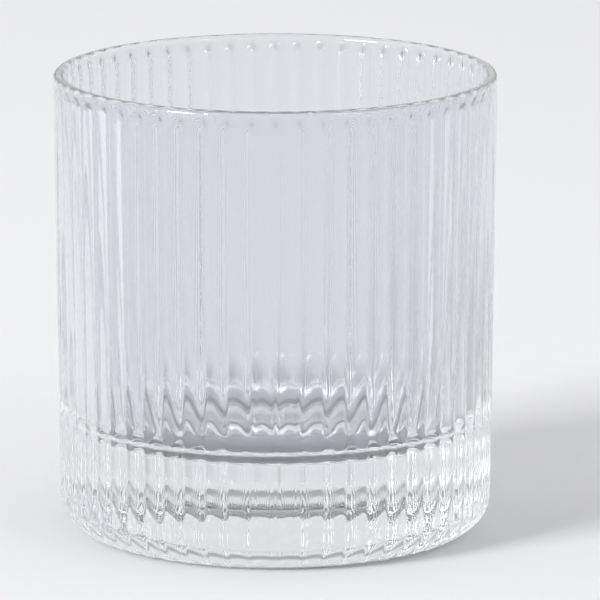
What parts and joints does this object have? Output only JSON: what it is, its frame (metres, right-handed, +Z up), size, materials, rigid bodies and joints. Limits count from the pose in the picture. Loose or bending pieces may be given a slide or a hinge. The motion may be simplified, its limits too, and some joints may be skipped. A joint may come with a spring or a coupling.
{
  "type": "drinking glass",
  "caption": "Straight-sided lowball tumbler of clear glass with upright ribs round the outside, a smooth well and a heavy base, for cold drinks.",
  "frame": {"origin": "on the axis, in the plane of the standing ring", "axes": "+Z up along the axis, from the standing ring to the mouth; +X through a rib crest"},
  "size_m": [0.085, 0.0848, 0.089],
  "materials": {
    "clear_glass": "clear, fire-polished, with a faint cool grey cast"
  },
  "bodies": {
    "root": {"tumbler": "clear_glass"}
  },
  "joints": []
}
